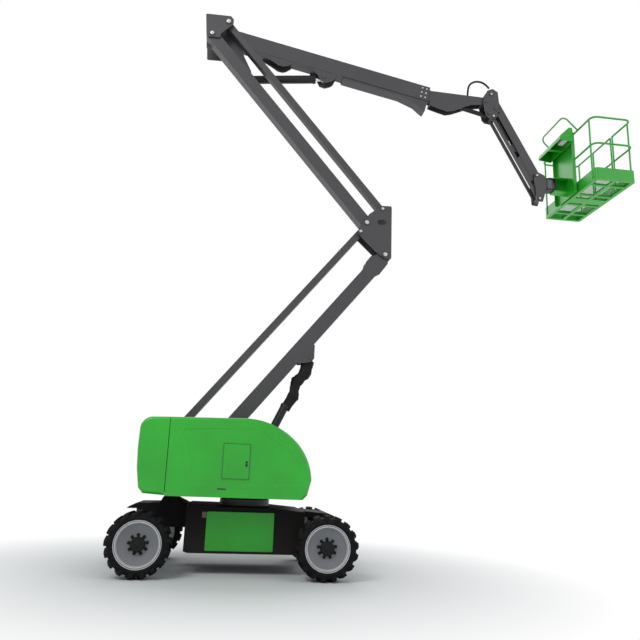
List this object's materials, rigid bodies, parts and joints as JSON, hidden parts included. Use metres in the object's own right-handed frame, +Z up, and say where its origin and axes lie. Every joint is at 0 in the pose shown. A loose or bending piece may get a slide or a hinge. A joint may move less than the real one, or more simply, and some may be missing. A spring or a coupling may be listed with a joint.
{
  "type": "articulating boom lift",
  "caption": "Self-propelled articulating boom lift: slewing turret, folding parallelogram riser, telescopic boom, jib and rotating work basket.",
  "frame": {"origin": "on the ground, midway between the two axles and on the machine's centreline", "axes": "+X towards the work basket (the drive axle's end), +Z up, +Y to the machine's far side as seen with the basket on the right"},
  "size_m": [8.1976, 2.4164, 9.1705],
  "materials": {
    "chassis_black": "semi-gloss paint",
    "cover_green": "gloss paint",
    "slew_steel": "oiled",
    "turntable_black": "semi-gloss paint",
    "hood_green": "gloss paint",
    "machinery_grey": "satin",
    "panel_black": "satin",
    "hose_rubber": "satin",
    "boom_grey": "satin paint",
    "rod_chrome": "polished",
    "cylinder_black": "semi-gloss paint",
    "rotator_steel": "satin",
    "basket_green": "gloss paint",
    "tyre_rubber": "matt",
    "rim_silver": "satin paint",
    "hub_black": "semi-gloss paint"
  },
  "bodies": {
    "chassis": {"chassis_frame": "chassis_black", "side_covers": "cover_green", "drive_axle": "chassis_black", "steer_axle": "chassis_black", "slew_ring": "slew_steel"},
    "knuckle_near": {"knuckle_near": "chassis_black"},
    "knuckle_far": {"knuckle_far": "chassis_black"},
    "wheel_steer_near": {"tyre_steer_near": "tyre_rubber", "rim_steer_near": "rim_silver", "hub_steer_near": "hub_black"},
    "wheel_steer_far": {"tyre_steer_far": "tyre_rubber", "rim_steer_far": "rim_silver", "hub_steer_far": "hub_black"},
    "wheel_drive_near": {"tyre_drive_near": "tyre_rubber", "rim_drive_near": "rim_silver", "hub_drive_near": "hub_black"},
    "wheel_drive_far": {"tyre_drive_far": "tyre_rubber", "rim_drive_far": "rim_silver", "hub_drive_far": "hub_black"},
    "turret": {"turntable": "turntable_black", "counterweight": "hood_green", "engine_block": "machinery_grey", "tank_block": "machinery_grey", "ground_controls": "panel_black"},
    "hood_near": {"hood_near": "hood_green"},
    "hood_far": {"hood_far": "hood_green"},
    "access_door": {"access_door": "hood_green"},
    "lower_arm": {"lower_arm": "boom_grey"},
    "lower_link": {"lower_link": "boom_grey"},
    "mid_knuckle": {"mid_knuckle": "boom_grey"},
    "upper_tube": {"upper_tube": "boom_grey"},
    "upper_link": {"upper_link": "boom_grey"},
    "top_knuckle": {"top_knuckle": "boom_grey"},
    "riser_barrel": {"riser_cyl_barrel": "cylinder_black"},
    "riser_rod": {"riser_cyl_rod": "rod_chrome"},
    "boom": {"boom_outer": "boom_grey", "hose_tray": "boom_grey"},
    "boom_inner": {"boom_inner": "boom_grey", "hose_loop": "hose_rubber"},
    "boom_barrel": {"boom_cyl_barrel": "cylinder_black"},
    "boom_rod": {"boom_cyl_rod": "rod_chrome"},
    "jib_base": {"jib_base": "boom_grey"},
    "slave_barrel": {"slave_cyl_barrel": "cylinder_black"},
    "slave_rod": {"slave_cyl_rod": "rod_chrome"},
    "jib_arm": {"jib_arm": "boom_grey"},
    "jib_link": {"jib_link": "boom_grey"},
    "jib_barrel": {"jib_cyl_barrel": "cylinder_black"},
    "jib_rod": {"jib_cyl_rod": "rod_chrome"},
    "jib_head": {"jib_head": "boom_grey", "rotator": "rotator_steel"},
    "basket": {"rotator_flanges": "cylinder_black", "rotator_bracket": "basket_green", "basket_floor": "basket_green", "basket_frame": "basket_green", "platform_console": "basket_green", "floor_grating": "basket_green"},
    "basket_gate": {"basket_gate": "basket_green"}
  },
  "joints": [
    {"name": "slew", "type": "hinge", "parent": "chassis", "child": "turret", "pos_m": [0.13, 0, 1], "axis": [0, 0, 1], "continuous": true},
    {"name": "steer_near", "type": "hinge", "parent": "chassis", "child": "knuckle_near", "pos_m": [-1.25, -0.8, 0.431], "axis": [0, 0, 1], "range_deg": [-35, 35]},
    {"name": "steer_far", "type": "hinge", "parent": "chassis", "child": "knuckle_far", "pos_m": [-1.25, 0.8, 0.431], "axis": [0, 0, 1], "range_deg": [-35.05, 35.05]},
    {"name": "spin_steer_near", "type": "hinge", "parent": "knuckle_near", "child": "wheel_steer_near", "pos_m": [-1.25, -1.045, 0.431], "axis": [0, 1, 0], "continuous": true},
    {"name": "spin_steer_far", "type": "hinge", "parent": "knuckle_far", "child": "wheel_steer_far", "pos_m": [-1.25, 1.045, 0.431], "axis": [0, 1, 0], "continuous": true},
    {"name": "spin_drive_near", "type": "hinge", "parent": "chassis", "child": "wheel_drive_near", "pos_m": [1.25, -1.045, 0.431], "axis": [0, 1, 0], "continuous": true},
    {"name": "spin_drive_far", "type": "hinge", "parent": "chassis", "child": "wheel_drive_far", "pos_m": [1.25, 1.045, 0.431], "axis": [0, 1, 0], "continuous": true},
    {"name": "hood_near", "type": "hinge", "parent": "turret", "child": "hood_near", "pos_m": [0, -0.38, 2.076], "axis": [-1, 0, 0], "range_deg": [0, 60]},
    {"name": "hood_far", "type": "hinge", "parent": "turret", "child": "hood_far", "pos_m": [0, 0.38, 2.076], "axis": [1, 0, 0], "range_deg": [0, 60]},
    {"name": "access_door", "type": "hinge", "parent": "hood_near", "child": "access_door", "pos_m": [-0.222, -1.101, 1.535], "axis": [0, 0, -1], "range_deg": [0, 110]},
    {"name": "riser_lift", "type": "hinge", "parent": "turret", "child": "lower_arm", "pos_m": [-0.59, -0.155, 1.52], "axis": [0, -1, 0], "range_deg": [-50.2, 21]},
    {"name": "lower_link", "type": "hinge", "parent": "turret", "child": "lower_link", "pos_m": [-1.012, -0.155, 1.893], "axis": [0, -1, 0], "range_deg": [-50.25, 21.05]},
    {"name": "mid_knuckle", "type": "hinge", "parent": "lower_arm", "child": "mid_knuckle", "pos_m": [2.19839, -0.155, 4.98805], "axis": [0, -1, 0], "range_deg": [-21.05, 50.25]},
    {"name": "upper_tube", "type": "hinge", "parent": "mid_knuckle", "child": "upper_tube", "pos_m": [1.87939, -0.155, 5.52805], "axis": [0, -1, 0], "range_deg": [-20.29, 48.44]},
    {"name": "upper_link", "type": "hinge", "parent": "mid_knuckle", "child": "upper_link", "pos_m": [2.14639, -0.155, 5.79805], "axis": [0, -1, 0], "range_deg": [-20.29, 48.44]},
    {"name": "top_knuckle", "type": "hinge", "parent": "upper_tube", "child": "top_knuckle", "pos_m": [-0.92179, -0.155, 8.79048], "axis": [0, -1, 0], "range_deg": [-48.44, 20.29]},
    {"name": "riser_barrel", "type": "hinge", "parent": "turret", "child": "riser_barrel", "pos_m": [0.138, -0.155, 1.3], "axis": [0, -1, 0], "range_deg": [-57.99, 24.29]},
    {"name": "riser_rod", "type": "slide", "parent": "riser_barrel", "child": "riser_rod", "axis": [0.4255, 0, 0.9049], "range_m": [-0.5497, 0.2305]},
    {"name": "boom_lift", "type": "hinge", "parent": "top_knuckle", "child": "boom", "pos_m": [-0.65479, 0.155, 9.06048], "axis": [0, -1, 0], "range_deg": [-4, 74]},
    {"name": "boom_barrel", "type": "hinge", "parent": "top_knuckle", "child": "boom_barrel", "pos_m": [-0.27979, 0.155, 8.23948], "axis": [0, -1, 0], "range_deg": [-3.62, 66.09]},
    {"name": "boom_rod", "type": "slide", "parent": "boom_barrel", "child": "boom_rod", "axis": [0.991, 0, 0.1341], "range_m": [-0.0604, 1.1005]},
    {"name": "telescope", "type": "slide", "parent": "boom", "child": "boom_inner", "axis": [0.9816, 0, -0.1908], "range_m": [0, 1.5]},
    {"name": "jib_base", "type": "hinge", "parent": "boom_inner", "child": "jib_base", "pos_m": [4.1552, 0.155, 8.30379], "axis": [0, -1, 0], "range_deg": [-74.05, 4.05]},
    {"name": "slave_barrel", "type": "hinge", "parent": "jib_base", "child": "slave_barrel", "pos_m": [4.2152, 0.155, 8.04879], "axis": [0, -1, 0], "range_deg": [-4.18, 76.38]},
    {"name": "slave_rod", "type": "slide", "parent": "slave_barrel", "child": "slave_rod", "axis": [-0.9765, 0, 0.2153], "range_m": [-0.3237, 0.0184]},
    {"name": "jib_lift", "type": "hinge", "parent": "jib_base", "child": "jib_arm", "pos_m": [4.2752, 0.155, 8.44979], "axis": [0, 1, 0], "range_deg": [-112, 3]},
    {"name": "jib_link", "type": "hinge", "parent": "jib_base", "child": "jib_link", "pos_m": [4.3072, 0.155, 7.99579], "axis": [0, 1, 0], "range_deg": [-112.05, 3.05]},
    {"name": "jib_head", "type": "hinge", "parent": "jib_arm", "child": "jib_head", "pos_m": [5.11086, 0.155, 6.87814], "axis": [0, 1, 0], "range_deg": [-3.05, 112.05]},
    {"name": "jib_barrel", "type": "hinge", "parent": "jib_base", "child": "jib_barrel", "pos_m": [4.3562, 0.155, 8.16079], "axis": [0, 1, 0], "range_deg": [-125.56, 3.41]},
    {"name": "jib_rod", "type": "slide", "parent": "jib_barrel", "child": "jib_rod", "axis": [0.4298, 0, -0.9029], "range_m": [-0.0121, 0.4168]},
    {"name": "platform_rotate", "type": "hinge", "parent": "jib_head", "child": "basket", "pos_m": [5.39086, 0.155, 6.74814], "axis": [0, 0, 1], "range_deg": [-80, 80]},
    {"name": "basket_gate", "type": "hinge", "parent": "basket", "child": "basket_gate", "pos_m": [6.50086, -0.136, 7.18014], "axis": [0, 0, 1], "range_deg": [0, 85]}
  ],
  "couplings": [
    {"joint": "steer_far", "follows": "steer_near", "ratio": 1},
    {"joint": "lower_link", "follows": "riser_lift", "ratio": 1},
    {"joint": "mid_knuckle", "follows": "riser_lift", "ratio": -1},
    {"joint": "upper_tube", "follows": "riser_lift", "ratio": -0.96387},
    {"joint": "upper_link", "follows": "riser_lift", "ratio": -0.96387},
    {"joint": "top_knuckle", "follows": "riser_lift", "ratio": 0.96387},
    {"joint": "riser_barrel", "follows": "riser_lift", "ratio": 1.1541},
    {"joint": "riser_rod", "follows": "riser_lift", "m_per_rad": 0.62621},
    {"joint": "boom_barrel", "follows": "boom_lift", "ratio": 0.8925},
    {"joint": "boom_rod", "follows": "boom_lift", "m_per_rad": 0.85131},
    {"joint": "jib_base", "follows": "boom_lift", "ratio": -1},
    {"joint": "slave_barrel", "follows": "boom_lift", "ratio": 1.0315},
    {"joint": "slave_rod", "follows": "boom_lift", "m_per_rad": -0.24982},
    {"joint": "jib_link", "follows": "jib_lift", "ratio": 1},
    {"joint": "jib_head", "follows": "jib_lift", "ratio": -1},
    {"joint": "jib_barrel", "follows": "jib_lift", "ratio": 1.1206},
    {"joint": "jib_rod", "follows": "jib_lift", "m_per_rad": -0.21271}
  ]
}
